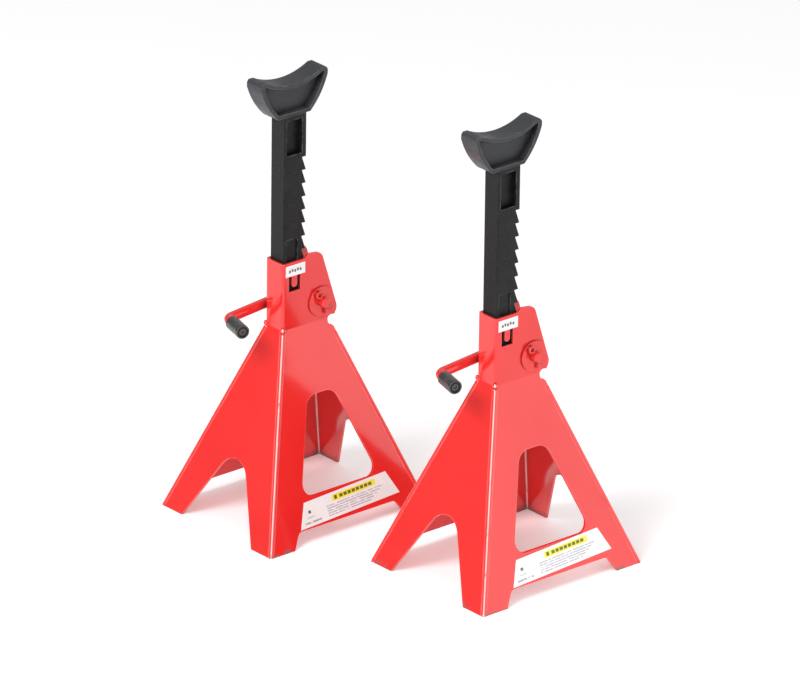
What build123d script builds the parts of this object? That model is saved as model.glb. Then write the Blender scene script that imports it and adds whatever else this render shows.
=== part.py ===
from build123d import *

import math
import os

# A pair of identical ratchet jack stands, in millimetres, with +Z up and the floor at Z = 0.
# Each stand is drawn about the centre of its own footprint: its teeth face +X, its pivot lies
# along Y, and its front, with the window and the labels, faces -Y.

# The pair
STAND_STEP_X = 67.0  # the second stand sits this far to the +X side of the first
STAND_STEP_Y = 212.5  # and this far in front of it

# Base: four flared panels of one sheet thickness
SHEET = 2.3
BASE_LENGTH = 186.0  # along X at the floor
BASE_WIDTH = 154.0  # along Y at the floor
FLARE_HEIGHT = 182.0
WINDOW_SILL = 40.5
WINDOW_HEIGHT = 82.5
WINDOW_HALF_TOP = 15.5
WINDOW_TOP_RADIUS = 14.0
WINDOW_SILL_RADIUS = 10.0
FOOT_GAP_HEIGHT = 14.0
FOOT_GAP_HALF_TOP = 56.0
FOOT_GAP_HALF_FLOOR = 64.5
FOOT_GAP_RADIUS = 6.0
ARCH_HALF_FLOOR = 49.0
ARCH_APEX = 84.5  # where the arch's straight sides would meet
ARCH_RADIUS = 19.7
SEAM_RADIUS = 2.4
SEAM_INSET = 1.6
SEAM_STOP = 1.5  # a left seam stops this far under the crease
RELIEF_RADIUS = 2.0
WAIST_RADIUS = 5.0
WAIST_BITE = 2.2
WAIST_DROP = 3.0  # of the waist's middle under the crease

# Neck: a web and two plates that rise into ears
NECK_HEIGHT = 64.0
NECK_PAST_BAR = 26.0  # from the tooth tips to the flare's top corner
BEND_RADIUS = 2.8
EAR_REACH = 9.6  # past the flare's top corner
EAR_HEEL = 8.0
EAR_CHIN = 6.0  # past the flare's top corner, at the crease
EAR_RISE = 3.9
EAR_TOP_LENGTH = 15.3
EAR_FOOT = 25.5  # from the web's outside to where the ear leaves the neck's top edge
EAR_RADII = (6.0, 9.5, 9.0, 4.0, 3.0)
SLOT_WIDTH = 13.0
SLOT_HEIGHT = 17.0
SLOT_BOTTOM = 36.0  # above the crease
SLOT_OFFSET = 13.5  # from the web's outside to the slot's middle
TONGUE_WIDTH = 6.2
TONGUE_GAP = 4.0

# Bar guide inside the top of the flare
GUIDE_THICKNESS = 3.0
GUIDE_DROP = 8.5  # from the crease to the guide's top face
GUIDE_CLEARANCE = 0.5

# Ratchet bar and saddle, one casting
BAR_LENGTH_X = 25.2  # over the tooth tips
BAR_THICKNESS = 18.6
BAR_WEB_GAP = 0.5
BAR_SIDE_GAP = 0.65
BAR_FOOT = 8.0  # from the stop pin's middle to the bar's bottom end
FIRST_LEDGE_RISE = 97.6  # above the neck's top edge, at full height
TOOTH_PITCH = 12.7
TOOTH_DEPTH = 4.5
TOOTH_COUNT = 10
CORNER_RADIUS = 1.2
POCKET_DEPTH = 5.5
POCKET_LEFT_RIM = 3.0
POCKET_RIGHT_RIM = 4.6
POCKET_END_RIM = 4.5
CHANNEL_DEPTH = 1.2
CHANNEL_RIGHT_RIM = 9.4
CHANNEL_LENGTH = 92.0
CHANNEL_DROP = 76.6  # from the first ledge to the channel's top
STOP_PIN_RADIUS = 2.5
STOP_PIN_PROUD = 4.2  # past each side of the bar
STOP_PIN_GAP = 3.0  # between the stop pin and the guide at full height
SADDLE_RISE = 42.4  # from the first ledge to the saddle's underside
SADDLE_HEIGHT = 38.0
SADDLE_SHIFT = -1.9  # the saddle's middle from the bar's middle
SADDLE_PROUD = 0.9  # past each side of the bar
SADDLE_HALF_BASE = 18.5
SADDLE_HALF_SPAN = 38.2
SADDLE_HALF_TOP = 36.4
HORN_KNEE = 6.5  # below the horn tips
HORN_SHOULDER = 2.5
FLANK_BULGE = 2.4  # of each curved flank, past the straight line from its knee to its foot
CRADLE_HALF_CHORD = 31.5
CRADLE_SAG = 7.7
SADDLE_RIM = 3.6  # above and below the pocket
SADDLE_SIDE_RIM = 4.4
SADDLE_POCKET = 7.2

# Lever: pivot rod, pawl, washers, pins and grip
PIVOT_FROM_TIPS = 16.0
PIVOT_ABOVE_CREASE = 18.5
ROD_RADIUS = 4.75
ROD_RUNNING_GAP = 0.08
ROD_FRONT_REACH = 8.4  # past the front ear
ROD_BEND = 6.5
ARM_LENGTH = 80.5
ARM_DROP = 7.0
GRIP_LEG = 32.0
GRIP_TURN = 74.0  # degrees between the arm and the grip
GRIP_RADIUS = 6.5
GRIP_LENGTH = 24.0
GRIP_OVERHANG = 2.0
PAWL_HUB_RADIUS = 10.5
PAWL_SIDE_GAP = 0.75
PAWL_BITE = 2.5
PAWL_DROP = 2.0  # of the engaged nose under its ledge
PAWL_NOSE_GAP = 0.4  # from the nose's foot to the next tip's level
PAWL_NOSE_BACK = 10.5
PAWL_NOSE_RISE = 2.7
PAWL_TIP_CLEARANCE = 0.4  # between the resting nose and the tooth tips
PAWL_PIN_RADIUS = 2.0
WASHER_RADIUS = 14.0
WASHER_THICKNESS = 1.6
WASHER_GAP = 0.3
COTTER_RADIUS = 1.4
COTTER_INSET = 4.0  # from the rod's front end
COTTER_LEG = 9.0
COTTER_EYE = 2.8
COTTER_SPLAY = 24.0
COTTER_TILT = 58.0

# Labels: thin film, plain
LABEL_FILM = 0.25
NECK_LABEL = (22.5, 10.5)
NECK_LABEL_TOP_GAP = 2.5
PANEL_LABEL_BOTTOM = 117.0
PANEL_LABEL_TOP = 96.5
PANEL_LABEL_HEIGHT = 22.8
PANEL_LABEL_CENTRE = (4.5, 28.2)
PANEL_LABEL_TILT = 2.4

# Lines and planes that several pieces share
NECK_LENGTH = SHEET + BAR_WEB_GAP + BAR_LENGTH_X + NECK_PAST_BAR
NECK_WIDTH = BAR_THICKNESS + 2 * (BAR_SIDE_GAP + SHEET)
NECK_TOP = FLARE_HEIGHT + NECK_HEIGHT
WEB_OUT = -NECK_LENGTH / 2
EAR_OUT = NECK_WIDTH / 2
FLARE_RUN_X = (BASE_LENGTH - NECK_LENGTH) / 2
FLARE_RUN_Y = (BASE_WIDTH - NECK_WIDTH) / 2
SLOPE_X = FLARE_RUN_X / FLARE_HEIGHT
SLOPE_Y = FLARE_RUN_Y / FLARE_HEIGHT
INSET_X = SHEET * math.hypot(1, SLOPE_X)
INSET_Y = SHEET * math.hypot(1, SLOPE_Y)
BAR_LEFT = WEB_OUT + SHEET + BAR_WEB_GAP
BAR_RIGHT = BAR_LEFT + BAR_LENGTH_X
BAR_MIDDLE = (BAR_LEFT + BAR_RIGHT) / 2
FIRST_LEDGE = NECK_TOP + FIRST_LEDGE_RISE
SADDLE_BASE = FIRST_LEDGE + SADDLE_RISE
SADDLE_DEPTH = BAR_THICKNESS + 2 * SADDLE_PROUD
PIVOT_X = BAR_RIGHT + PIVOT_FROM_TIPS
PIVOT_Z = FLARE_HEIGHT + PIVOT_ABOVE_CREASE
GUIDE_TOP = FLARE_HEIGHT - GUIDE_DROP
STOP_PIN_Z = GUIDE_TOP - GUIDE_THICKNESS - STOP_PIN_GAP - STOP_PIN_RADIUS
BAR_BOTTOM = STOP_PIN_Z - BAR_FOOT
PAWL_THICKNESS = NECK_WIDTH - 2 * (SHEET + PAWL_SIDE_GAP)
PAWL_NOSE_HEIGHT = TOOTH_PITCH - PAWL_DROP - PAWL_NOSE_GAP
ROD_FRONT = -EAR_OUT - ROD_FRONT_REACH


def slab(low, high):
    """A box given by its lowest and highest corners."""
    size = [b - a for a, b in zip(low, high)]
    middle = [(a + b) / 2 for a, b in zip(low, high)]
    return Pos(*middle) * Box(*size)


def through_y(outline, half):
    """A closed outline of (x, z) edges, made solid from -half to +half along Y."""
    face = Plane.XZ * make_face(outline)
    return extrude(face, half, both=True)


def rounded(points, radii):
    """A closed polyline whose corners have the given radii, 0 for a sharp one."""
    return FilletPolyline(*points, radius=radii, close=True)


def rod_between(start, end, radius):
    """A round bar from one point to another."""
    axis = Vector(*end) - Vector(*start)
    return Plane(origin=start, z_dir=axis) * Cylinder(
        radius, axis.length, align=(Align.CENTER, Align.CENTER, Align.MIN)
    )


def flare(inset_x, inset_y):
    """The solid flared block, with its sides moved in by the insets."""
    floor = Rectangle(BASE_LENGTH - 2 * inset_x, BASE_WIDTH - 2 * inset_y)
    crease = Rectangle(NECK_LENGTH - 2 * inset_x, NECK_WIDTH - 2 * inset_y)
    return loft([floor.face(), (Pos(0, 0, FLARE_HEIGHT) * crease).face()], ruled=True)


def corner_line(side_x, side_y, height):
    """A point of one corner's seam at a height."""
    return (
        side_x * (BASE_LENGTH / 2 - SLOPE_X * height - SEAM_INSET),
        side_y * (BASE_WIDTH / 2 - SLOPE_Y * height - SEAM_INSET),
        height,
    )


def seam(side_x, side_y, top):
    """The weld bead down one corner, trimmed flat at the floor."""
    start = corner_line(side_x, side_y, -2 * SEAM_RADIUS)
    bead = rod_between(start, corner_line(side_x, side_y, FLARE_HEIGHT), SEAM_RADIUS)
    reach = BASE_LENGTH
    return bead & slab((-reach, -reach, 0), (reach, reach, top))


def window():
    """The rounded window through the front and rear panels, its sides parallel to theirs."""
    half_sill = WINDOW_HALF_TOP + SLOPE_X * WINDOW_HEIGHT
    top = WINDOW_SILL + WINDOW_HEIGHT
    points = [
        (-half_sill, WINDOW_SILL),
        (half_sill, WINDOW_SILL),
        (WINDOW_HALF_TOP, top),
        (-WINDOW_HALF_TOP, top),
    ]
    sill, head = WINDOW_SILL_RADIUS, WINDOW_TOP_RADIUS
    return through_y(rounded(points, (sill, sill, head, head)), BASE_WIDTH)


def foot_gap():
    """The low gap between the feet under the front and rear crossbars."""
    points = [
        (-FOOT_GAP_HALF_FLOOR, 0),
        (FOOT_GAP_HALF_FLOOR, 0),
        (FOOT_GAP_HALF_TOP, FOOT_GAP_HEIGHT),
        (-FOOT_GAP_HALF_TOP, FOOT_GAP_HEIGHT),
    ]
    return through_y(rounded(points, (0, 0, FOOT_GAP_RADIUS, FOOT_GAP_RADIUS)), BASE_WIDTH)


def side_arch():
    """The pointed arch with a rounded head through the left and right panels."""
    points = [(-ARCH_HALF_FLOOR, 0), (ARCH_HALF_FLOOR, 0), (0, ARCH_APEX)]
    face = Plane.YZ * make_face(rounded(points, (0, 0, ARCH_RADIUS)))
    return extrude(face, BASE_LENGTH, both=True)


def neck():
    """The folded neck: a web at the left and a plate with an ear at the front and the rear."""
    right = WEB_OUT + NECK_LENGTH
    ear_left = WEB_OUT + EAR_FOOT
    peak = NECK_TOP + EAR_RISE
    points = [
        (WEB_OUT, FLARE_HEIGHT),
        (right, FLARE_HEIGHT),
        (right + EAR_CHIN, FLARE_HEIGHT),
        (right + EAR_REACH, FLARE_HEIGHT + EAR_HEEL),
        (ear_left + EAR_RISE + EAR_TOP_LENGTH, peak - EAR_RISE / 2),
        (ear_left + EAR_RISE, peak),
        (ear_left, NECK_TOP),
        (WEB_OUT, NECK_TOP),
    ]
    block = through_y(rounded(points, (0, 0, *EAR_RADII, 0)), EAR_OUT)
    corners = block.edges().filter_by(Axis.Z).group_by(Axis.X)[0]
    block = fillet(corners, BEND_RADIUS)
    far = right + 2 * EAR_REACH
    inside = slab(
        (WEB_OUT + SHEET, -EAR_OUT + SHEET, FLARE_HEIGHT - 1),
        (far, EAR_OUT - SHEET, NECK_TOP + 2 * EAR_RISE),
    )
    corners = inside.edges().filter_by(Axis.Z).group_by(Axis.X)[0]
    inside = fillet(corners, max(BEND_RADIUS - SHEET, SHEET / 4))
    return block - inside


def lanced_slot():
    """The U-shaped slot in the front and rear plates, which leaves a tongue hanging in it."""
    middle = WEB_OUT + SLOT_OFFSET
    low = FLARE_HEIGHT + SLOT_BOTTOM
    high = low + SLOT_HEIGHT
    reach = NECK_WIDTH
    hole = slab((middle - SLOT_WIDTH / 2, -reach, low), (middle + SLOT_WIDTH / 2, reach, high))
    half = TONGUE_WIDTH / 2
    tongue = slab((middle - half, -reach, low + TONGUE_GAP), (middle + half, reach, high))
    tongue = fillet(tongue.edges().filter_by(Axis.Y).group_by(Axis.Z)[0], half * 0.9)
    return hole - tongue


def corner_relief(side_y):
    """The small drilled relief at the head of one left seam."""
    corner = Vector(WEB_OUT, side_y * EAR_OUT, FLARE_HEIGHT)
    way = Vector(1, -side_y, 0) * (2 * SHEET)
    return rod_between(tuple(corner - way), tuple(corner + way), RELIEF_RADIUS)


def base_pieces():
    """The main shell and the right panel, cut from one flared shell."""
    skin = flare(0, 0) - flare(INSET_X, INSET_Y)
    skin = skin - window() - foot_gap() - side_arch()
    for side_x, top in ((-1, FLARE_HEIGHT - SEAM_STOP), (1, right_seam_top())):
        for side_y in (-1, 1):
            skin = skin - seam(side_x, side_y, top)
    between_plates = flare(-BASE_LENGTH, INSET_Y)
    right_side = slab((0, -BASE_WIDTH, -1), (BASE_LENGTH, BASE_WIDTH, FLARE_HEIGHT + 1))
    panel = skin & between_plates & right_side
    panel = panel - slab((0, -EAR_OUT, GUIDE_TOP), (NECK_LENGTH, EAR_OUT, FLARE_HEIGHT + 1))
    waist_x = WEB_OUT + NECK_LENGTH - WAIST_BITE + WAIST_RADIUS
    waist = Pos(waist_x, 0, FLARE_HEIGHT - WAIST_DROP) * Rot(90, 0, 0) * Cylinder(
        WAIST_RADIUS, 2 * NECK_WIDTH
    )
    shell = (skin - (between_plates & right_side) - waist) + (neck() - waist)
    bore = Pos(PIVOT_X, 0, PIVOT_Z) * Rot(90, 0, 0) * Cylinder(
        ROD_RADIUS + ROD_RUNNING_GAP, 2 * NECK_WIDTH
    )
    shell = shell - bore - lanced_slot() - corner_relief(-1) - corner_relief(1)
    return shell, panel


def right_seam_top():
    """The right seams stop under the ear's waist and the right panel's top edge."""
    return FLARE_HEIGHT - WAIST_DROP - 2 * WAIST_RADIUS


def guide_plate():
    """The plate welded across the flare's top, whose hole steadies the bar."""
    reach = NECK_LENGTH
    low, high = GUIDE_TOP - GUIDE_THICKNESS, GUIDE_TOP
    blank = flare(INSET_X, INSET_Y) & slab((-reach, -reach, low), (reach, reach, high))
    gap = GUIDE_CLEARANCE
    half = BAR_THICKNESS / 2 + gap
    hole = slab((BAR_LEFT - gap, -half, low - 1), (BAR_RIGHT + gap, half, high + 1))
    seams = [seam(-1, side_y, FLARE_HEIGHT - SEAM_STOP) for side_y in (-1, 1)]
    return blank - hole - seams


def ledge(number):
    """The height of a tooth's ledge, counted down from the first."""
    return FIRST_LEDGE - number * TOOTH_PITCH


def bar_outline():
    """The bar's side profile: a plain back, and teeth with level ledges facing down."""
    root = BAR_RIGHT - TOOTH_DEPTH
    points = [(BAR_LEFT, BAR_BOTTOM), (BAR_LEFT, SADDLE_BASE), (BAR_RIGHT, SADDLE_BASE)]
    for number in range(TOOTH_COUNT):
        points += [(BAR_RIGHT, ledge(number)), (root, ledge(number))]
    points += [(BAR_RIGHT, ledge(TOOTH_COUNT)), (BAR_RIGHT, BAR_BOTTOM)]
    return Polyline(*points, close=True)


def flank(side, middle, top):
    """One curved underside of the saddle, from its foot on the bar up to the horn's knee."""
    foot = Vector(middle + side * SADDLE_HALF_BASE, SADDLE_BASE)
    knee = Vector(middle + side * SADDLE_HALF_SPAN, top - HORN_KNEE)
    chord = knee - foot
    outward = Vector(side * chord.Y, -side * chord.X).normalized()
    return ThreePointArc(foot, (foot + knee) / 2 + outward * FLANK_BULGE, knee)


def saddle_outline():
    """The saddle's front profile: a shallow cradle between two horns on curved flanks."""
    middle = BAR_MIDDLE + SADDLE_SHIFT
    top = SADDLE_BASE + SADDLE_HEIGHT
    left, right = middle - CRADLE_HALF_CHORD, middle + CRADLE_HALF_CHORD
    edges = [ThreePointArc((left, top), (middle, top - CRADLE_SAG), (right, top))]
    for side in (-1, 1):
        edges += Polyline(
            (middle + side * CRADLE_HALF_CHORD, top),
            (middle + side * SADDLE_HALF_TOP, top),
            (middle + side * SADDLE_HALF_SPAN, top - HORN_SHOULDER),
            (middle + side * SADDLE_HALF_SPAN, top - HORN_KNEE),
        ).edges()
        edges.append(flank(side, middle, top))
    edges.append(
        Line((middle - SADDLE_HALF_BASE, SADDLE_BASE), (middle + SADDLE_HALF_BASE, SADDLE_BASE))
    )
    return Wire(edges)


def saddle():
    """The saddle: a web between two deep rimmed pockets, one on each face."""
    half = SADDLE_DEPTH / 2
    body = through_y(saddle_outline(), half)
    face = make_face(saddle_outline())
    floor = Pos(SADDLE_SIDE_RIM, 0) * face & Pos(-SADDLE_SIDE_RIM, 0) * face
    floor = floor & Pos(0, SADDLE_RIM) * face & Pos(0, -SADDLE_RIM) * face
    pocket = Plane.XZ * floor
    for face_y, way in ((-half, -1), (half, 1)):
        body = body - extrude(Pos(0, face_y, 0) * pocket, way * SADDLE_POCKET)
    return body


def ratchet_bar():
    """The toothed bar and its saddle as one casting, bored for its stop pin."""
    half = BAR_THICKNESS / 2
    bar = through_y(bar_outline(), half)
    bar = fillet(bar.edges().filter_by(Axis.Z).group_by(Axis.X)[0], CORNER_RADIUS)
    left = BAR_LEFT + POCKET_LEFT_RIM
    low, high = FIRST_LEDGE + POCKET_END_RIM, SADDLE_BASE - POCKET_END_RIM
    channel_top = FIRST_LEDGE - CHANNEL_DROP
    for side in (-1, 1):
        for rim, z_low, z_high, depth in (
            (POCKET_RIGHT_RIM, low, high, POCKET_DEPTH),
            (CHANNEL_RIGHT_RIM, channel_top - CHANNEL_LENGTH, channel_top, CHANNEL_DEPTH),
        ):
            right = BAR_RIGHT - rim
            pocket = slab((left, half - depth, z_low), (right, half + depth, z_high))
            bar = bar - (pocket if side > 0 else mirror(pocket, Plane.XZ))
    bar = bar + saddle()
    return bar - stop_pin()


def stop_pin():
    """The pressed cross pin that meets the guide plate when the bar is pulled right up."""
    return Pos(BAR_MIDDLE, 0, STOP_PIN_Z) * Rot(90, 0, 0) * Cylinder(
        STOP_PIN_RADIUS, BAR_THICKNESS + 2 * STOP_PIN_PROUD
    )


def pawl_clear_turn():
    """Degrees from the engaged nose to the resting nose, which just clears the tooth tips."""
    across = BAR_RIGHT - PAWL_BITE - PIVOT_X
    up = ledge(TOOTH_COUNT - 1) - PAWL_DROP - PIVOT_Z
    reach = math.hypot(across, up)
    clear = BAR_RIGHT + PAWL_TIP_CLEARANCE - PIVOT_X
    return math.degrees(math.atan2(up, across) - math.acos(clear / reach))


def pawl():
    """The pawl: a hub on the rod and a nose shaped to sit in the notch under a ledge."""
    tip_x = BAR_RIGHT - PAWL_BITE
    tip_z = ledge(TOOTH_COUNT - 1) - PAWL_DROP
    lean = TOOTH_DEPTH / TOOTH_PITCH
    nose = Polyline(
        (tip_x, tip_z),
        (tip_x + lean * PAWL_NOSE_HEIGHT, tip_z - PAWL_NOSE_HEIGHT),
        (PIVOT_X, PIVOT_Z),
        (tip_x + PAWL_NOSE_BACK, tip_z + PAWL_NOSE_RISE),
        close=True,
    )
    hub = Pos(PIVOT_X, PIVOT_Z) * Circle(PAWL_HUB_RADIUS)
    outline = make_hull([*nose.edges(), *hub.edges()])
    block = extrude(Plane.XZ * outline, PAWL_THICKNESS / 2, both=True)
    block = block.rotate(Axis((PIVOT_X, 0, PIVOT_Z), (0, 1, 0)), pawl_clear_turn())
    bore = Pos(PIVOT_X, 0, PIVOT_Z) * Rot(90, 0, 0) * Cylinder(ROD_RADIUS, 2 * PAWL_THICKNESS)
    return block - bore - pawl_pin()


def pawl_pin():
    """The roll pin that locks the pawl to the rod."""
    return Pos(PIVOT_X, 0, PIVOT_Z) * Rot(0, 90, 0) * Cylinder(
        PAWL_PIN_RADIUS, 2 * PAWL_HUB_RADIUS - SHEET
    )


def handle_points():
    """The rod's corners: front end, rear corner, elbow, and the end inside the grip."""
    arm_y = EAR_OUT + WASHER_GAP + WASHER_THICKNESS + ROD_BEND + WASHER_GAP / 2
    rear = Vector(PIVOT_X, arm_y, PIVOT_Z)
    elbow = rear - Vector(ARM_LENGTH, 0, ARM_DROP)
    turn = math.radians(GRIP_TURN)
    way = Vector(-math.cos(turn), -math.sin(turn), 0)
    return Vector(PIVOT_X, ROD_FRONT, PIVOT_Z), rear, elbow, elbow + way * GRIP_LEG, way


def handle_rod():
    """One round rod: the pivot through both ears, the arm behind, and the grip leg."""
    front, rear, elbow, end, _ = handle_points()
    path = FilletPolyline(front, rear, elbow, end, radius=ROD_BEND)
    section = Plane(origin=front, z_dir=(0, 1, 0)) * Circle(ROD_RADIUS)
    rod = sweep(section, path=path)
    rod = chamfer(rod.faces().sort_by(Axis.Y)[0].edges(), ROD_RADIUS / 6)
    hole = Pos(PIVOT_X, cotter_y(), PIVOT_Z) * cotter_turn() * Cylinder(
        COTTER_RADIUS, 4 * ROD_RADIUS
    )
    return rod - pawl_pin() - hole


def handle_grip():
    """The moulded sleeve pushed over the grip leg, open at its end."""
    _, _, _, end, way = handle_points()
    mouth = end + way * GRIP_OVERHANG
    start = mouth - way * GRIP_LENGTH
    sleeve = rod_between(tuple(start), tuple(mouth), GRIP_RADIUS)
    sleeve = fillet(sleeve.edges(), GRIP_RADIUS / 6)
    return sleeve - rod_between(tuple(start - way), tuple(mouth + way), ROD_RADIUS)


def washer(side_y):
    """A plain washer on the rod, just off one ear."""
    middle = side_y * (EAR_OUT + WASHER_GAP + WASHER_THICKNESS / 2)
    disc = Pos(PIVOT_X, middle, PIVOT_Z) * Rot(90, 0, 0)
    return disc * Cylinder(WASHER_RADIUS, WASHER_THICKNESS) - disc * Cylinder(
        ROD_RADIUS, 2 * WASHER_THICKNESS
    )


def cotter_y():
    """Where the split pin crosses the rod."""
    return ROD_FRONT + COTTER_INSET


def cotter_turn():
    """The split pin's slant across the rod's end."""
    return Rot(0, 90 + COTTER_TILT, 0)


def cotter_pin():
    """The split pin: an eye at one side of the rod, two splayed legs at the other."""
    half = ROD_RADIUS + COTTER_RADIUS
    shank = Cylinder(COTTER_RADIUS, 2 * half)
    eye = Pos(0, 0, -half - COTTER_EYE) * Rot(90, 0, 0) * Torus(COTTER_EYE, COTTER_RADIUS * 0.8)
    pin = shank + eye
    for side in (-1, 1):
        leg = Cylinder(
            COTTER_RADIUS * 0.8, COTTER_LEG, align=(Align.CENTER, Align.CENTER, Align.MIN)
        )
        pin = pin + Pos(0, 0, half - COTTER_RADIUS) * Rot(0, side * COTTER_SPLAY, 0) * leg
    return Pos(PIVOT_X, cotter_y(), PIVOT_Z) * cotter_turn() * pin


def neck_label():
    """The small label at the top of the neck's front face."""
    width, height = NECK_LABEL
    left = WEB_OUT + BEND_RADIUS + LABEL_FILM
    high = NECK_TOP - NECK_LABEL_TOP_GAP
    return slab((left, -EAR_OUT - LABEL_FILM, high - height), (left + width, -EAR_OUT, high))


def panel_label():
    """The large label on the front crossbar, a little askew, its ends parallel to the legs."""
    centre_x, centre_z = PANEL_LABEL_CENTRE
    centre_y = -(BASE_WIDTH / 2 - SLOPE_Y * centre_z)
    plane = Plane(origin=(centre_x, centre_y, centre_z), x_dir=(1, 0, 0), z_dir=(0, -1, SLOPE_Y))
    half = PANEL_LABEL_HEIGHT / 2
    outline = Polyline(
        (-PANEL_LABEL_BOTTOM / 2, -half),
        (PANEL_LABEL_BOTTOM / 2, -half),
        (PANEL_LABEL_TOP / 2, half),
        (-PANEL_LABEL_TOP / 2, half),
        close=True,
    )
    face = make_face(outline).rotate(Axis.Z, PANEL_LABEL_TILT)
    return extrude(plane * face, LABEL_FILM)


def stand_pieces():
    """Every piece of one stand, by name, about its own footprint centre."""
    shell, panel = base_pieces()
    left_top, right_top = FLARE_HEIGHT - SEAM_STOP, right_seam_top()
    return {
        "base_shell": shell,
        "right_panel": panel,
        "front_left_seam": seam(-1, -1, left_top),
        "rear_left_seam": seam(-1, 1, left_top),
        "front_right_seam": seam(1, -1, right_top),
        "rear_right_seam": seam(1, 1, right_top),
        "bar_guide_plate": guide_plate(),
        "ratchet_bar": ratchet_bar(),
        "bar_stop_pin": stop_pin(),
        "pawl": pawl(),
        "pawl_pin": pawl_pin(),
        "handle_rod": handle_rod(),
        "handle_grip": handle_grip(),
        "front_washer": washer(-1),
        "rear_washer": washer(1),
        "cotter_pin": cotter_pin(),
        "neck_label": neck_label(),
        "panel_label": panel_label(),
    }


os.makedirs("parts", exist_ok=True)
pieces = stand_pieces()
for stand, side in (("stand_1", -1), ("stand_2", 1)):
    place = Pos(side * STAND_STEP_X / 2, -side * STAND_STEP_Y / 2, 0)
    for name, piece in pieces.items():
        export_step(place * piece, f"parts/{stand}_{name}.step")
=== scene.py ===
import math

import bpy
from mathutils import Matrix, Quaternion, Vector


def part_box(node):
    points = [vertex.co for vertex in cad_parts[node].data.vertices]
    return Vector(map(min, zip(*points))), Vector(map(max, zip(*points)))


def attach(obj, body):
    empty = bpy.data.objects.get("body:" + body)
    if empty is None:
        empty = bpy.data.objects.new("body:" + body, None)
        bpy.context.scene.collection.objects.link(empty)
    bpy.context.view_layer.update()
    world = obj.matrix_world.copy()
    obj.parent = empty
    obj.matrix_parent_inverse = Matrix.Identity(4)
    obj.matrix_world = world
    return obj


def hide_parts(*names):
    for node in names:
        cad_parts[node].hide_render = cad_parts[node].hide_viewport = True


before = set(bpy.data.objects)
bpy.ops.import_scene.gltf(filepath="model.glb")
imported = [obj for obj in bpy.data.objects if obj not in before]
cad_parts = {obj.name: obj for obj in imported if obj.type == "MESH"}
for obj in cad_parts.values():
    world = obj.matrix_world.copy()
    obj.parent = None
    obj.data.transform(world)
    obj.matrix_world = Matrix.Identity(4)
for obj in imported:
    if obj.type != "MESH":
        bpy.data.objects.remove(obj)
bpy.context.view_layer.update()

STANDS = ("stand_1", "stand_2")
bpy.ops.object.select_all(action="DESELECT")


# ---------------------------------------------------------------- folded base, right panel, guide
# Each base is one blank of sheet steel, cut, folded into the neck and flared into three sides. The
# right side is a separate panel of the same sheet, and a plate across the top of the flare guides
# the bar. All are painted in gloss red enamel.
enamel_red = (0.78, 0.024, 0.021)
enamel_deep_red = (0.72, 0.017, 0.016)
enamel_thin_edge_and_highlight = (0.9, 0.2, 0.18)
enamel_crown_highlight = (0.95, 0.72, 0.69)
corner_dust_and_shade = (0.16, 0.01, 0.008)
scraped_steel = (0.13, 0.115, 0.105)
speck_red = (0.16, 0.012, 0.01)
scraped_height = 0.006  # how far up the feet are rubbed
probe_rays = 8  # for finding corners and edges
sheet_edge = 0.0004  # rounding of the cut edges
merge_reach = 0.000005  # points nearer than this are one point


class Value:
    """A shader socket whose operators add Math nodes to its own material."""

    def __init__(self, finish, socket):
        self.finish = finish
        self.socket = socket

    def maths(self, operation, *others):
        terms = dict(enumerate((self, *others)))
        return self.finish.node("ShaderNodeMath", {"operation": operation}, terms)

    def __add__(self, other):
        return self.maths("ADD", other)

    __radd__ = __add__

    def __mul__(self, other):
        return self.maths("MULTIPLY", other)

    __rmul__ = __mul__

    def __sub__(self, other):
        return self.maths("SUBTRACT", other)

    def __rsub__(self, other):
        return self.maths("MULTIPLY_ADD", -1.0, other)

    def ramp(self, low, high):
        """0 at low and 1 at high, with a soft step between them."""
        return self.finish.node(
            "ShaderNodeMapRange",
            {"interpolation_type": "SMOOTHSTEP"},
            {"Value": self, "From Min": low, "From Max": high},
        )


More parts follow.
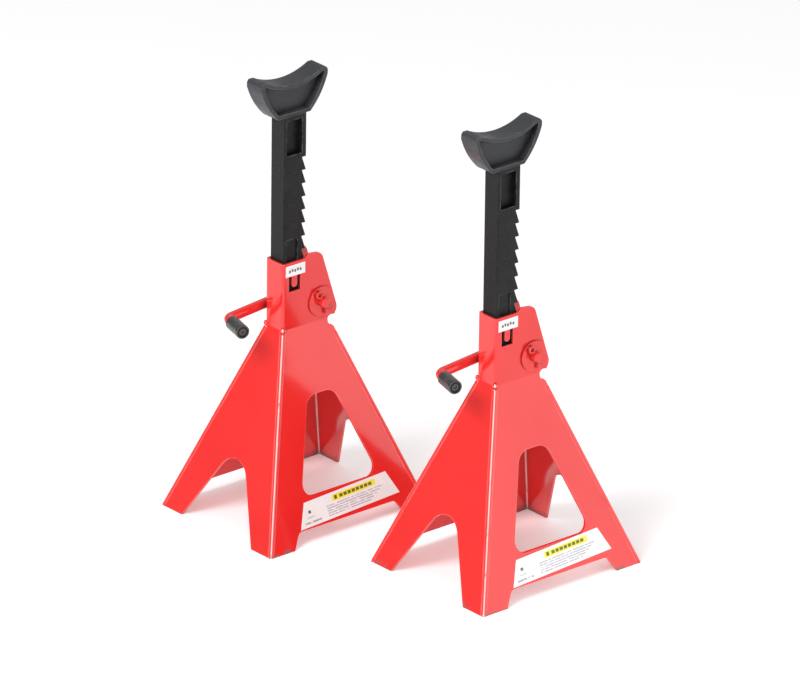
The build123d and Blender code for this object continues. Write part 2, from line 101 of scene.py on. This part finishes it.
class Finish:
    """A named surface: a Principled shader with its constants set on its own sockets."""

    def __init__(self, name, constants):
        self.material = bpy.data.materials.new(name)
        self.material.use_nodes = True
        self.tree = self.material.node_tree
        self.surface = self.tree.nodes["Principled BSDF"]
        for socket, value in constants.items():
            self.surface.inputs[socket].default_value = value
        self.place = self.node("ShaderNodeTexCoord", {}, {}, "Object")

    def node(self, kind, settings, inputs, output=0):
        made = self.tree.nodes.new(kind)
        for key, value in settings.items():
            setattr(made, key, value)
        for key, value in inputs.items():
            if isinstance(value, Value):
                self.tree.links.new(value.socket, made.inputs[key])
            else:
                made.inputs[key].default_value = value
        return Value(self, made.outputs[output])

    def noise(self, scale, detail=4.0, roughness=0.55, stretch=(1.0, 1.0, 1.0)):
        spread = self.node("ShaderNodeMapping", {}, {"Vector": self.place, "Scale": stretch})
        inputs = {"Vector": spread, "Scale": scale, "Detail": detail, "Roughness": roughness}
        return self.node("ShaderNodeTexNoise", {}, inputs)

    def flecks(self, scale, stretch=(1.0, 1.0, 1.0)):
        """Distance from the middle of each of many scattered cells."""
        spread = self.node("ShaderNodeMapping", {}, {"Vector": self.place, "Scale": stretch})
        return self.node("ShaderNodeTexVoronoi", {}, {"Vector": spread, "Scale": scale})

    def corners(self, reach):
        """1 in the open and towards 0 deep in a corner."""
        settings = {"samples": probe_rays}
        return self.node("ShaderNodeAmbientOcclusion", settings, {"Distance": reach}, "AO")

    def edges(self, reach):
        """1 on a flat face and less where the piece is thin, as at an edge."""
        settings = {"samples": probe_rays, "inside": True, "only_local": True}
        return self.node("ShaderNodeAmbientOcclusion", settings, {"Distance": reach}, "AO")

    def height(self):
        return self.node("ShaderNodeSeparateXYZ", {}, {"Vector": self.place}, "Z")

    def diagonal(self, side):
        """Greatest where the surface faces a corner: -X-Y or +X+Y for side 1, the others for -1."""
        facing = self.node("ShaderNodeTexCoord", {}, {}, "Normal")
        across = self.node("ShaderNodeSeparateXYZ", {}, {"Vector": facing}, "X")
        along = self.node("ShaderNodeSeparateXYZ", {}, {"Vector": facing}, "Y")
        return across * along * side

    def blend(self, mask, first, second):
        """The first colour where mask is 0, the second where it is 1."""
        mask_input, first_input, second_input, colour_output = 0, 6, 7, 2
        inputs = {mask_input: mask}
        for place, colour in ((first_input, first), (second_input, second)):
            inputs[place] = colour if isinstance(colour, Value) else (*colour, 1.0)
        return self.node("ShaderNodeMix", {"data_type": "RGBA"}, inputs, colour_output)

    def bump(self, height, strength, distance):
        inputs = {"Height": height, "Strength": strength, "Distance": distance}
        return self.node("ShaderNodeBump", {}, inputs)

    def feed(self, links):
        for socket, value in links.items():
            self.tree.links.new(value.socket, self.surface.inputs[socket])


def red_enamel(name, coat, highlight_side=0.0):
    """Gloss red: lighter on sharp edges, from thin paint and a painted highlight; darker in corners,
    from dust and painted shade; and rubbed through at the feet.

    With a side given, it also gets a painted highlight: a pale stripe where the surface faces
    that pair of corners.
    """
    finish = Finish(name, {"IOR": 1.5, "Coat Roughness": 0.06, "Coat Weight": coat})
    drift = finish.noise(9.0, 2.0).ramp(0.35, 0.7)
    body = finish.blend(drift, enamel_red, enamel_deep_red)
    # Corners are darkened towards dark red: dust and painted shade.
    dust_and_shade = finish.corners(0.012).ramp(0.8, 0.3) * finish.noise(60.0, 5.0).ramp(0.2, 0.55)
    body = finish.blend(dust_and_shade * 0.75, body, corner_dust_and_shade)
    # Sharp edges are lightened: thin paint and a painted highlight.
    thin_paint_and_highlight = finish.edges(0.0012).ramp(0.75, 0.45) * finish.noise(45.0, 3.0).ramp(0.25, 0.5)
    body = finish.blend(thin_paint_and_highlight * 0.6, body, enamel_thin_edge_and_highlight)
    # Painted highlight: a pale stripe where the surface faces the given pair of corners.
    if highlight_side:
        crown_highlight = finish.diagonal(highlight_side).ramp(0.3, 0.42) * finish.noise(90.0, 3.0).ramp(0.2, 0.45)
        body = finish.blend(crown_highlight * 0.85, body, enamel_crown_highlight)
    sole = finish.height().ramp(scraped_height, 0.0)
    rubbed = sole * finish.noise(150.0, 6.0, 0.7).ramp(0.52, 0.6)
    body = finish.blend(rubbed, body, scraped_steel)
    fleck = finish.flecks(75.0).ramp(0.06, 0.03) * finish.noise(22.0, 2.0).ramp(0.62, 0.66)
    body = finish.blend(fleck * 0.7, body, speck_red)
    scuff = finish.noise(26.0, 6.0, 0.65, (1.0, 1.0, 3.0)).ramp(0.55, 0.75)
    peel = finish.noise(330.0, 2.0, 0.5)
    finish.feed({
        "Base Color": body,
        "Roughness": 0.13 + scuff * 0.1 + dust_and_shade * 0.35 + rubbed * 0.35,
        "Normal": finish.bump(peel * 0.5 + finish.noise(70.0, 2.0), 0.055, 0.0012),
    })
    return finish.material


paint = red_enamel("red_enamel", 0.35)


def bevelled_copy(node, name, width, segments=2, flat=2.0, sharp=32.0):
    """A new piece on a CAD node's shape: merged, its flat faces joined, its edges rounded."""
    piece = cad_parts[node].copy()
    piece.data = piece.data.copy()
    piece.name = name
    piece.data.name = name
    piece.parent = None
    for key in list(piece.keys()):
        del piece[key]
    bpy.context.scene.collection.objects.link(piece)
    bpy.context.view_layer.objects.active = piece
    piece.select_set(True)
    bpy.ops.object.mode_set(mode="EDIT")
    bpy.ops.mesh.select_all(action="SELECT")
    bpy.ops.mesh.remove_doubles(threshold=merge_reach)
    bpy.ops.mesh.dissolve_limited(angle_limit=math.radians(flat))
    bpy.ops.object.mode_set(mode="OBJECT")
    rounding = piece.modifiers.new("rounding", "BEVEL")
    rounding.width = width
    rounding.segments = segments
    rounding.limit_method = "ANGLE"
    rounding.angle_limit = math.radians(sharp)
    rounding.use_clamp_overlap = True
    rounding.miter_outer = "MITER_ARC"
    bpy.ops.object.modifier_apply(modifier="rounding")
    bpy.ops.object.shade_smooth_by_angle(angle=math.radians(35.0))
    level = piece.modifiers.new("level", "WEIGHTED_NORMAL")
    level.keep_sharp = True
    level.weight = 80
    bpy.ops.object.modifier_apply(modifier="level")
    piece.select_set(False)
    return piece


def dress(piece, material, body, slot, *nodes):
    """Gives a finished piece its material and its body, and hides its CAD nodes. The slot is not used."""
    piece.data.materials.clear()
    piece.data.materials.append(material)
    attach(piece, body)
    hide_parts(*nodes)


for stand in STANDS:
    for part in ("base_shell", "right_panel", "bar_guide_plate"):
        node = f"{stand}_{part}"
        sheet = bevelled_copy(node, f"{node}_rounded", sheet_edge)
        dress(sheet, paint, f"{stand}_frame", "red_paint", node)


# ---------------------------------------------------------------- corner welds
# The flared sides meet at four corners, each closed by one long hand-laid weld bead with a ripple
# for each dab. The beads are painted with the rest, and a pale stripe along their crowns, where
# they face one pair of corners, is a painted highlight.
bead_pitch = 0.0026
bead_sides = 20
bead_start = 0.00192  # radius of the end at the foot
bead_foot_growth = 1.25
bead_swell = 1.045  # from a ripple's hollow to its crest
bead_head_growth = 0.7
bead_cap_growths = (1.5, 1.0, 0.85, 0.5)  # ring by ring over a relief hole
bead_cap_rise = 0.0011
bead_cap_lean = 0.0002
seam_end_band = 0.0005  # height within which a seam's points belong to its end face


def end_middle(points, level):
    """Middle of the points of a seam's end face."""
    near = [point for point in points if abs(point.z - level) < seam_end_band]
    return sum(near, Vector()) / len(near)


def weld_bead(node):
    """A ripple-by-ripple bead up the corner; a left one ends in a cap over the fold's relief hole."""
    low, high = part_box(node)
    points = [v.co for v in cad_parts[node].data.vertices]
    foot = end_middle(points, low.z)
    run = end_middle(points, high.z) - foot
    rings = 2 * int(run.length / bead_pitch)
    growth = [bead_swell if ring % 2 else 1.0 / bead_swell for ring in range(rings)]
    growth[0] = bead_foot_growth
    growth[-1] = bead_head_growth
    steps = [(run / rings, grow) for grow in growth]
    if "left" in node:
        outwards_y = -bead_cap_lean if "front" in node else bead_cap_lean
        rise = Vector((-bead_cap_lean, outwards_y, bead_cap_rise))
        steps += [(rise, grow) for grow in bead_cap_growths]
    bpy.ops.object.select_all(action="DESELECT")
    bpy.ops.mesh.primitive_circle_add(
        vertices=bead_sides, radius=bead_start, fill_type="NGON", location=foot
    )
    bead = bpy.context.object
    bead.name = f"{node}_bead"
    bpy.ops.object.mode_set(mode="EDIT")
    bpy.ops.mesh.select_all(action="SELECT")
    for step, grow in steps:
        bpy.ops.mesh.extrude_region_move(TRANSFORM_OT_translate={"value": step})
        bpy.ops.transform.resize(value=(grow, grow, 1.0))
    bpy.ops.mesh.select_all(action="SELECT")
    bpy.ops.mesh.normals_make_consistent(inside=False)
    bpy.ops.object.mode_set(mode="OBJECT")
    bpy.ops.object.transform_apply(location=True, rotation=True, scale=True)
    bpy.ops.object.shade_smooth_by_angle(angle=math.radians(50.0))
    bead.select_set(False)
    return bead


for name, highlight_side, corners in (
    ("bead_enamel", 1.0, ("front_left", "rear_right")),
    ("bead_enamel_crossed", -1.0, ("rear_left", "front_right")),
):
    bead_paint = red_enamel(name, 0.8, highlight_side)
    for stand in STANDS:
        for corner in corners:
            node = f"{stand}_{corner}_seam"
            dress(weld_bead(node), bead_paint, f"{stand}_frame", "red_paint", node)


# ---------------------------------------------------------------- ratchet bar and saddle
# One sand casting in iron: a toothed bar with a saddle at its head. It is brushed with satin
# black, so the grain of the sand shows. Its edges are lightened to dull grey, as wear and as a
# painted highlight, and its inner corners and hollows are darkened as painted shade. The saddle
# is coloured paler from its foot up.
saddle_foot = 0.384
saddle_body = 0.39
saddle_grey = (0.075, 0.077, 0.086)
casting_hollow_shade = (0.004, 0.004, 0.005)


def cast_iron(name, dark, light, worn, edge_wear_and_highlight_strength):
    finish = Finish(name, {"IOR": 1.5, "Specular IOR Level": 0.22})
    grain = finish.noise(520.0, 4.0, 0.62)
    patches = finish.noise(75.0, 5.0, 0.6)
    pits = finish.flecks(430.0).ramp(0.0, 0.5)
    body = finish.blend(patches.ramp(0.35, 0.68), dark, light)
    body = finish.blend(grain.ramp(0.6, 0.75) * 0.25, body, worn)
    # The saddle is coloured paler from its foot up.
    paler_above_foot = finish.height().ramp(saddle_foot, saddle_body)
    body = finish.blend(paler_above_foot * 0.55, body, saddle_grey)
    # Painted shade: corners and hollows are darkened.
    corner_shade = finish.corners(0.01).ramp(0.8, 0.25)
    body = finish.blend(corner_shade * 0.8, body, casting_hollow_shade)
    # Edges are lightened towards the worn grey: wear and a painted highlight.
    rubbed = finish.edges(0.0016).ramp(0.8, 0.5) * finish.noise(120.0, 4.0, 0.6).ramp(0.4, 0.6)
    body = finish.blend(rubbed * edge_wear_and_highlight_strength, body, worn)
    finish.feed({
        "Base Color": body,
        "Roughness": 0.34 + patches.ramp(0.3, 0.7) * 0.16 + corner_shade * 0.2 - rubbed * 0.06,
        "Normal": finish.bump(grain + pits * 0.5 + patches * 1.2, 0.4, 0.0007),
    })
    return finish.material


iron = cast_iron(
    "black_casting",
    dark=(0.003, 0.003, 0.004),
    light=(0.009, 0.009, 0.011),
    worn=(0.15, 0.15, 0.155),
    edge_wear_and_highlight_strength=0.8,
)
for stand in STANDS:
    node = f"{stand}_ratchet_bar"
    bar = bevelled_copy(node, f"{node}_casting", 0.0007, 3)
    dress(bar, iron, f"{stand}_bar", "black_casting", node)


# ---------------------------------------------------------------- pawl
# A small dark casting between the ears, drilled for the rod that carries it. Its nose drops under
# a ledge of the bar, and its edges are lightened, worn bright by the teeth and given a painted highlight.
pawl_iron = cast_iron(
    "pawl_casting",
    dark=(0.02, 0.02, 0.021),
    light=(0.05, 0.048, 0.046),
    worn=(0.3, 0.29, 0.28),
    edge_wear_and_highlight_strength=0.9,
)
for stand in STANDS:
    node = f"{stand}_pawl"
    pawl = bevelled_copy(node, f"{node}_casting", 0.0005)
    dress(pawl, pawl_iron, f"{stand}_lever", "pawl_casting", node)


# ---------------------------------------------------------------- pressed pins
# Plain turned steel pins with a dull zinc finish: the stop across the bar's foot and the roll
# pin that locks the pawl to its rod.
zinc_clean = (0.52, 0.51, 0.49)
zinc_tarnished = (0.27, 0.25, 0.22)


def turned_steel():
    finish = Finish("pin_steel", {"Metallic": 1.0})
    turning = finish.noise(300.0, 3.0, 0.6, (1.0, 8.0, 1.0))
    tarnish = finish.noise(90.0, 5.0, 0.6).ramp(0.4, 0.7)
    finish.feed({
        "Base Color": finish.blend(tarnish, zinc_clean, zinc_tarnished),
        "Roughness": 0.28 + tarnish * 0.25,
        "Normal": finish.bump(turning, 0.15, 0.0003),
    })
    return finish.material


steel = turned_steel()
for stand in STANDS:
    for part, body in (("bar_stop_pin", "bar"), ("pawl_pin", "lever")):
        node = f"{stand}_{part}"
        pin = bevelled_copy(node, f"{node}_turned", 0.0004)
        dress(pin, steel, f"{stand}_{body}", "bare_steel", node)


# ---------------------------------------------------------------- lever rod, washers and split pin
# One bent steel rod is pivot, arm and grip leg. A washer sits by each ear, and a split pin
# through the rod's front end keeps it in. All were painted with the stand.
for stand in STANDS:
    for part, edge in (
        ("handle_rod", 0.0006), ("front_washer", 0.0003), ("rear_washer", 0.0003), ("cotter_pin", 0.0002),
    ):
        node = f"{stand}_{part}"
        piece = bevelled_copy(node, f"{node}_painted", edge)
        dress(piece, paint, f"{stand}_lever", "red_paint", node)


# ---------------------------------------------------------------- grip sleeve
# A moulded rubber sleeve pushed over the end of the lever, dark grey and dusty. It has fine ribs,
# and a thin cap a little way inside its mouth covers the rod's end. Its hollow mouth is darkened
# with painted shade.
rubber_dark = (0.028, 0.028, 0.028)
rubber_dusty = (0.055, 0.054, 0.05)
rubber_worn = (0.13, 0.125, 0.12)
rubber_hollow_shade = (0.003, 0.003, 0.003)


def moulded_rubber():
    finish = Finish("grip_rubber", {"IOR": 1.5, "Coat Roughness": 0.2})
    grain = finish.noise(900.0, 3.0, 0.6)
    dust = finish.noise(110.0, 5.0, 0.6).ramp(0.4, 0.7)
    body = finish.blend(dust, rubber_dark, rubber_dusty)
    worn = finish.edges(0.0012).ramp(0.75, 0.45)
    body = finish.blend(worn * 0.5, body, rubber_worn)
    # Painted shade: the hollow of the mouth is darkened.
    corner_shade = finish.corners(0.006).ramp(0.98, 0.7)
    body = finish.blend(corner_shade * 0.9, body, rubber_hollow_shade)
    finish.feed({
        "Base Color": body,
        "Roughness": 0.2 + dust * 0.15 + corner_shade * 0.4,
        "Coat Weight": 0.5 - corner_shade * 0.5,
        "Normal": finish.bump(grain, 0.2, 0.0004),
    })
    return finish.material


grip_turn = math.radians(74.0)  # between the arm and the grip leg
grip_sides = 40
grip_reach = 0.012  # from the sleeve's middle to either end
bore_radius = 0.0048
bore_depth = 0.0221
rib_pitch = 0.0021
rib_count = 8


def grip_profile():
    """Each ring's distance from the elbow end and its radius, from the bore's mouth to the cap."""
    rings = [(0.0, bore_radius), (0.0, 0.006), (0.0005, 0.0065), (0.0024, 0.0065)]
    for rib in range(rib_count):
        start = 0.003 + rib * rib_pitch
        rings += [(start, 0.0063), (start + 0.0005, 0.0063), (start + 0.0009, 0.00647)]
        rings += [(start + rib_pitch - 0.0004, 0.00647)]
    rings += [(0.0234, 0.0065), (0.0239, 0.0062), (0.024, 0.0057), (0.0237, 0.0052)]
    rings += [(0.0223, 0.005), (0.0223, 0.0033), (0.0231, 0.003), (0.0232, 0.0022)]
    rings += [(0.0231, 0.0019), (0.0224, 0.0016), (0.02235, 0.0004)]
    return rings


def grip_sleeve(node):
    """Drawn from one disc at the bore's floor: back along the bore, over the ribs and into the cap."""
    low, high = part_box(node)
    way = Vector((-math.cos(grip_turn), -math.sin(grip_turn), 0.0))
    root = (low + high) / 2 - way * grip_reach
    bpy.ops.object.select_all(action="DESELECT")
    bpy.ops.mesh.primitive_circle_add(
        vertices=grip_sides,
        radius=bore_radius,
        fill_type="NGON",
        location=root + way * bore_depth,
        rotation=(math.pi / 2, 0.0, grip_turn - math.pi / 2),
    )
    sleeve = bpy.context.object
    sleeve.name = f"{node}_sleeve"
    bpy.ops.object.mode_set(mode="EDIT")
    bpy.ops.mesh.select_all(action="SELECT")
    along, wide = bore_depth, bore_radius
    for distance, radius in grip_profile():
        bpy.ops.mesh.extrude_region_move(TRANSFORM_OT_translate={"value": way * (distance - along)})
        bpy.ops.transform.resize(value=(radius / wide,) * 3)
        along, wide = distance, radius
    bpy.ops.mesh.select_all(action="SELECT")
    bpy.ops.mesh.remove_doubles(threshold=merge_reach)
    bpy.ops.mesh.normals_make_consistent(inside=False)
    bpy.ops.object.mode_set(mode="OBJECT")
    bpy.ops.object.transform_apply(location=True, rotation=True, scale=True)
    bpy.ops.object.shade_smooth_by_angle(angle=math.radians(40.0))
    sleeve.select_set(False)
    return sleeve


rubber = moulded_rubber()
for stand in STANDS:
    node = f"{stand}_handle_grip"
    dress(grip_sleeve(node), rubber, f"{stand}_lever", "grip_rubber", node)


# ---------------------------------------------------------------- labels
# White adhesive film, stuck on the neck and on the front crossbar. The print is only plain bars
# and blocks: a yellow band with dark blocks over rows of broken grey lines, and no words.
film_white = (0.86, 0.86, 0.85)
film_aged = (0.8, 0.8, 0.79)
film_soil = (0.45, 0.36, 0.3)
print_black = (0.02, 0.02, 0.02)
print_grey = (0.4, 0.38, 0.46)
print_dark_green = (0.05, 0.07, 0.06)
print_yellow = (0.85, 0.78, 0.03)
print_edge = 0.00015  # how softly the ink ends
film_edge = 0.00004


def printed_film(name, corner, along, up, bars):
    """White film with bars, each as its left, right, low and high sides, colour, strength and gaps."""
    finish = Finish(name, {"Roughness": 0.32, "IOR": 1.45, "Coat Weight": 0.2})
    square = Matrix((along, up, along.cross(up))).transposed().to_euler()
    spread = {"Vector": finish.place, "Location": corner, "Rotation": square}
    flat = finish.node("ShaderNodeMapping", {"vector_type": "TEXTURE"}, spread)
    across = finish.node("ShaderNodeSeparateXYZ", {}, {"Vector": flat}, "X")
    rise = finish.node("ShaderNodeSeparateXYZ", {}, {"Vector": flat}, "Y")
    words = finish.noise(420.0, 1.0, 0.5, (1.0, 0.1, 1.6)).ramp(0.38, 0.42)
    body = finish.blend(finish.noise(40.0).ramp(0.4, 0.7), film_white, film_aged)
    for left, right, low, high, ink, strength, broken in bars:
        bar = across.ramp(left - print_edge, left + print_edge)
        bar = bar * across.ramp(right + print_edge, right - print_edge)
        bar = bar * rise.ramp(low - print_edge, low + print_edge)
        bar = bar * rise.ramp(high + print_edge, high - print_edge) * strength
        body = finish.blend(bar * words if broken else bar, body, ink)
    soiled = finish.noise(130.0, 6.0, 0.65).ramp(0.55, 0.8)
    finish.feed({
        "Base Color": finish.blend(soiled * 0.12, body, film_soil),
        "Roughness": 0.3 + soiled * 0.3,
        "Normal": finish.bump(finish.noise(160.0, 2.0), 0.08, 0.0004),
    })
    return finish.material


def panel_print():
    """Yellow band with blocks, five broken lines under it, and a small mark with two lines.

    Lengths are from the label's lower left corner.
    """
    bars = [(0.042, 0.093, 0.0146, 0.0202, print_yellow, 1.0, False)]
    bars += [(0.0445, 0.0475, 0.0156, 0.0192, print_black, 0.9, False)]
    for block in range(8):
        left = 0.0505 + block * 0.0049
        bars += [(left, left + 0.0038, 0.0159, 0.0189, print_black, 0.85, False)]
    for line in range(5):
        low = 0.0115 - line * 0.0022
        bars += [(0.034, 0.1 - line * 0.004, low, low + 0.0011, print_grey, 0.85, True)]
    bars += [(0.0125, 0.0155, 0.0118, 0.0145, print_black, 0.9, False)]
    bars += [(0.0105, 0.018, 0.0078, 0.0087, print_grey, 0.8, True)]
    bars += [(0.0065, 0.0255, 0.0028, 0.0044, print_black, 0.6, True)]
    return bars


def neck_print():
    """A row of dark blocks across the small label, with a broken line over them."""
    bars = []
    for block in range(5):
        left = 0.0036 + block * 0.0031
        low = 0.0036 + (block % 2) * 0.0006
        bars += [(left, left + 0.0021, low, low + 0.0027, print_dark_green, 0.95, False)]
    bars += [(0.003, 0.0195, 0.0078, 0.0083, print_grey, 0.5, True)]
    return bars


for stand in STANDS:
    for part, bars in (("neck_label", neck_print()), ("panel_label", panel_print())):
        node = f"{stand}_{part}"
        points = [v.co.copy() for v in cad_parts[node].data.vertices]
        low_left = min(points, key=lambda co: co.x + co.z)
        low_right = max(points, key=lambda co: co.x - co.z)
        high_left = min(points, key=lambda co: co.x - co.z)
        along = (low_right - low_left).normalized()
        outward = along.cross(high_left - low_left).normalized()
        up = outward.cross(along)
        print_finish = printed_film(f"{part}_print_{stand}", low_left, along, up, bars)
        film = bevelled_copy(node, f"{node}_film", film_edge, 1)
        dress(film, print_finish, f"{stand}_frame", "label_film", node)


# ---------------------------------------------------------------- floor
# A wide sheet of white studio paper under both stands. It glows a little of itself, so that the
# shadows by the feet stay pale.
bpy.ops.mesh.primitive_plane_add(size=30.0, location=(0, 0, 0))
floor = bpy.context.object
floor.name = "floor"
floor.select_set(False)
plain_white = (1.0, 1.0, 1.0, 1.0)
paper = Finish("white_paper", {
    "Roughness": 0.75,
    "Specular IOR Level": 0.2,
    "Emission Color": plain_white,
    "Emission Strength": 0.28,
})
paper.feed({"Base Color": paper.blend(paper.noise(0.8, 2.0), (0.93, 0.93, 0.93), (0.96, 0.96, 0.96))})
floor.data.materials.append(paper.material)


# ---------------------------------------------------------------- studio light
# Bright even surroundings, dimmer towards the back left, and a large soft lamp high at the left.
# A wide lit card low at the right front lies on the front panels as a pale sheen, and a narrow
# upright lamp glints along the front left corners.
surroundings = 0.62
dim_side = 0.3
dim_way = (-0.71, 0.7, 0.0)
dim_from, dim_to = -0.1, 0.9  # how far round towards that way the light falls off
world = bpy.data.worlds.new("studio")
world.use_nodes = True
sky = world.node_tree
ways = sky.nodes.new("ShaderNodeTexCoord")
facing = sky.nodes.new("ShaderNodeVectorMath")
facing.operation = "DOT_PRODUCT"
facing.inputs[1].default_value = dim_way
fall = sky.nodes.new("ShaderNodeMapRange")
fall.interpolation_type = "SMOOTHSTEP"
fall.inputs["From Min"].default_value = dim_from
fall.inputs["From Max"].default_value = dim_to
fall.inputs["To Min"].default_value = surroundings
fall.inputs["To Max"].default_value = dim_side
sky.links.new(ways.outputs["Generated"], facing.inputs[0])
sky.links.new(facing.outputs["Value"], fall.inputs["Value"])
sky.links.new(fall.outputs["Result"], sky.nodes["Background"].inputs["Strength"])
sky.nodes["Background"].inputs["Color"].default_value = plain_white
bpy.context.scene.world = world


def soft_lamp(name, place, target, size, power):
    lamp = bpy.data.objects.new(name, bpy.data.lights.new(name, "AREA"))
    lamp.data.shape = "RECTANGLE"
    lamp.data.size, lamp.data.size_y = size
    lamp.data.energy = power
    lamp.location = place
    lamp.rotation_mode = "QUATERNION"
    lamp.rotation_quaternion = (Vector(target) - Vector(place)).to_track_quat("-Z", "Y")
    bpy.context.scene.collection.objects.link(lamp)


soft_lamp("key_lamp", (-1.7, -0.3, 1.7), (0, 0, 0.15), (0.9, 0.9), 38.0)
soft_lamp("sheen_card", (1.25, -1.75, 0.64), (0, 0, 0.3), (2.4, 1.2), 11.0)
soft_lamp("strip_lamp", (-1.15, -1.35, 0.75), (0, 0, 0.15), (0.1, 1.3), 3.0)


# ---------------------------------------------------------------- camera
# A long lens nine metres away, off to the front left, looking down on the saddles. It is turned
# by less than a degree about its own line of sight.
eye_turn = math.radians(40.69)
eye_rise = math.radians(23.26)
eye_roll = math.radians(0.72)
eye_distance = 9.0
aim = Vector((-0.0191, -0.0188, 0.2))
outward = Vector((
    -math.sin(eye_turn) * math.cos(eye_rise),
    -math.cos(eye_turn) * math.cos(eye_rise),
    math.sin(eye_rise),
))
lens = bpy.data.cameras.new("camera")
lens.lens = 456.2
lens.sensor_width = 36.0
lens.clip_start = 0.05
lens.clip_end = 60.0
camera = bpy.data.objects.new("camera", lens)
camera.location = aim + outward * eye_distance
camera.rotation_mode = "QUATERNION"
camera.rotation_quaternion = (-outward).to_track_quat("-Z", "Y") @ Quaternion((0, 0, 1), eye_roll)
bpy.context.scene.collection.objects.link(camera)
bpy.context.scene.camera = camera
bpy.context.scene.view_settings.view_transform = "Standard"
